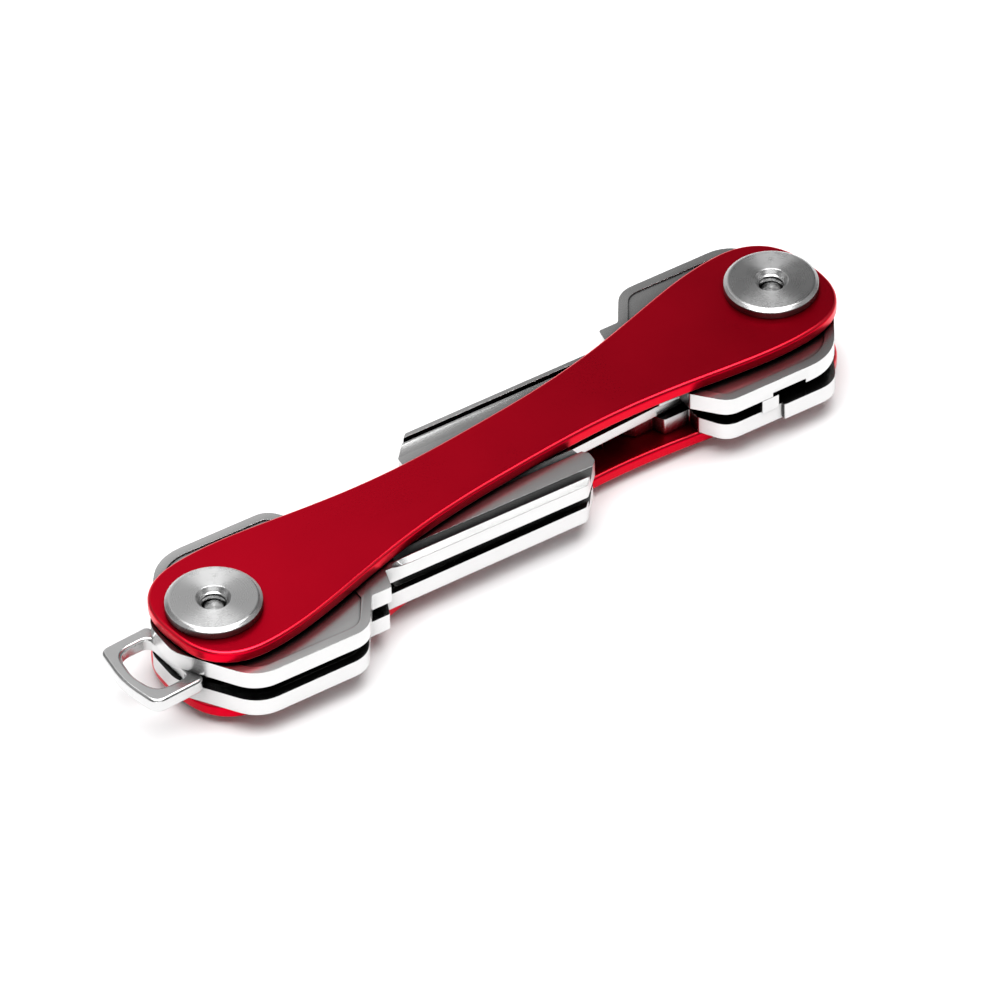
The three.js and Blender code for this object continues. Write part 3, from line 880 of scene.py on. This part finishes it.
def bottle_opener():
    """A thin bar with an eye and a bite, and a finger tab that is thick at its end."""
    node = "bottle_opener"
    z0, z1 = span(node, 2)
    low, high = LEAF
    half, length = OPENER["half_width"], OPENER["length"]
    bar = plain_solid(node + "_plated", rounded([
        (0, -half, 0),
        (length, -half, 1.2),
        (length, half, 2.2),
        (0, half, 0),
    ]), low, high)
    combine(bar, [
        plain_solid("eye", circle(EYE_RADIUS), low, high),
        plain_solid("tab", tab_outline(TAB["root"]), low, high),
        plain_solid("fat", tab_outline(TAB["fat_from"]), z0, z1),
    ], "UNION")
    bite = circle(OPENER_BITE["radius"], 64, OPENER_BITE["x"], OPENER_BITE["y"])
    combine(bar, [
        plain_solid("bite", bite, z0 - LAP, z1 + LAP),
        plain_solid("hole", circle(PIVOT_HOLE), z0 - LAP, z1 + LAP),
    ], "DIFFERENCE")
    crisp(bar)
    set_on_post(bar, RIGHT_POST, OPENER_TURN)
    finish_piece(bar, node, "opener", KEY)


loop_piece()
bottle_opener()

# ---------------------------------------------------------------- stage, lights and camera

FLOOR_REACH = 3


def stage_mesh(name, points, material):
    mesh = bpy.data.meshes.new(name)
    mesh.from_pydata(points, [], [tuple(range(len(points)))])
    obj = bpy.data.objects.new(name, mesh)
    bpy.context.scene.collection.objects.link(obj)
    obj.data.materials.append(material)
    return obj


def floor():
    s = Surface("floor", Roughness=0.6)
    s.to("Base Color", s.blend(s.noise(30, 2), (0.90, 0.90, 0.90), (0.92, 0.92, 0.925)))
    corners = [(-1, -1), (1, -1), (1, 1), (-1, 1)]
    stage_mesh("floor", [(x * FLOOR_REACH, y * FLOOR_REACH, CAD_LO.z) for x, y in corners], s.material)


def area_light(name, at, aim, size, power):
    data = bpy.data.lights.new(name, "AREA")
    data.shape = "RECTANGLE"
    data.size, data.size_y = size
    data.energy = power
    obj = bpy.data.objects.new(name, data)
    bpy.context.scene.collection.objects.link(obj)
    obj.location = at
    obj.rotation_euler = (Vector(aim) - Vector(at)).to_track_quat("-Z", "Y").to_euler()


def emitter(name, centre, across, up_vector, half_width, half_height, stops):
    """A glowing card whose brightness runs from one side to the other."""
    s = Surface(name)
    glow = s.nodes.new("ShaderNodeEmission")
    split = s.nodes.new("ShaderNodeSeparateXYZ")
    s.links.new(s.coords, split.inputs["Vector"])
    place_along = s.math("DIVIDE", s.math("ADD", split.outputs["X"], half_width), 2 * half_width)
    s.links.new(s.ramp(place_along, stops), glow.inputs["Color"])
    s.links.new(glow.outputs["Emission"], s.nodes["Material Output"].inputs["Surface"])
    corners = [(-1, -1), (1, -1), (1, 1), (-1, 1)]
    card = stage_mesh(name, [(a * half_width, b * half_height, 0) for a, b in corners], s.material)
    across, up_vector = Vector(across).normalized(), Vector(up_vector).normalized()
    frame_axes = Matrix((across, up_vector, across.cross(up_vector))).transposed().to_4x4()
    card.matrix_world = Matrix.Translation(centre) @ frame_axes
    card.visible_camera = False
    card.visible_shadow = False


floor()

# The sky stands in for the studio's walls: (place, brightness) from right behind the camera at 0, past
# the sides at 0.5, to straight ahead of it at 1.
SKY_STOPS = [(0.0, 0.6), (0.09, 0.5), (0.15, 0.10), (0.30, 0.10), (0.5, 0.45), (0.8, 0.16), (1.0, 1.0)]
world = bpy.data.worlds.new("studio")
bpy.context.scene.world = world
world.use_nodes = True
sky = world.node_tree
direction = sky.nodes.new("ShaderNodeTexCoord")
behind = sky.nodes.new("ShaderNodeVectorMath")
behind.operation = "DOT_PRODUCT"
behind.inputs[1].default_value = (0.619, 0.785, 0.0)
sky.links.new(direction.outputs["Generated"], behind.inputs[0])
spread = sky.nodes.new("ShaderNodeMapRange")
spread.inputs["From Min"].default_value = -1.0
sky.links.new(behind.outputs["Value"], spread.inputs["Value"])
sky_ramp = sky.nodes.new("ShaderNodeValToRGB")
set_stops(sky_ramp, SKY_STOPS)
sky.links.new(spread.outputs["Result"], sky_ramp.inputs["Fac"])
sky.links.new(sky_ramp.outputs["Color"], sky.nodes["Background"].inputs["Color"])

# The card is what the plates' tops mirror, the overhead box what the rounded edges mirror.
emitter("back_card", (0.092, 0.117, 0.139), (0.785, -0.619, 0), (-0.414, -0.525, 0.743), 0.14, 0.10,
        [(0.0, 0.85), (0.36, 0.60), (0.50, 0.33), (0.64, 0.12), (1.0, 0.03)])
area_light("overhead", (-0.05, -0.06, 0.8), (0, 0, 0), (0.8, 0.8), 11)
area_light("front", (-0.30, -0.38, 0.10), (0, 0, 0.005), (0.45, 0.12), 0.3)

AZIMUTH, ELEVATION, ROLL = (math.radians(v) for v in (-38.24, 41.96, -2.08))
TARGET = Vector((-5.11, -6.58, span("front_plate", 2)[1])) * MM
DISTANCE = 0.9518
LENS = 346.5
level = math.cos(ELEVATION)
back = Vector((math.sin(AZIMUTH) * level, -math.cos(AZIMUTH) * level, math.sin(ELEVATION)))
right = (-back).cross(Vector((0, 0, 1))).normalized()
up = right.cross(-back)
tilted_right = right * math.cos(ROLL) + up * math.sin(ROLL)
tilted_up = up * math.cos(ROLL) - right * math.sin(ROLL)
camera_data = bpy.data.cameras.new("camera")
camera_data.sensor_width = 36
camera_data.lens = LENS
camera_data.clip_start, camera_data.clip_end = 0.05, 10
camera = bpy.data.objects.new("camera", camera_data)
bpy.context.scene.collection.objects.link(camera)
camera_axes = Matrix((tilted_right, tilted_up, back)).transposed().to_4x4()
camera.matrix_world = Matrix.Translation(TARGET + back * DISTANCE) @ camera_axes
bpy.context.scene.camera = camera
bpy.context.scene.view_settings.view_transform = "Standard"
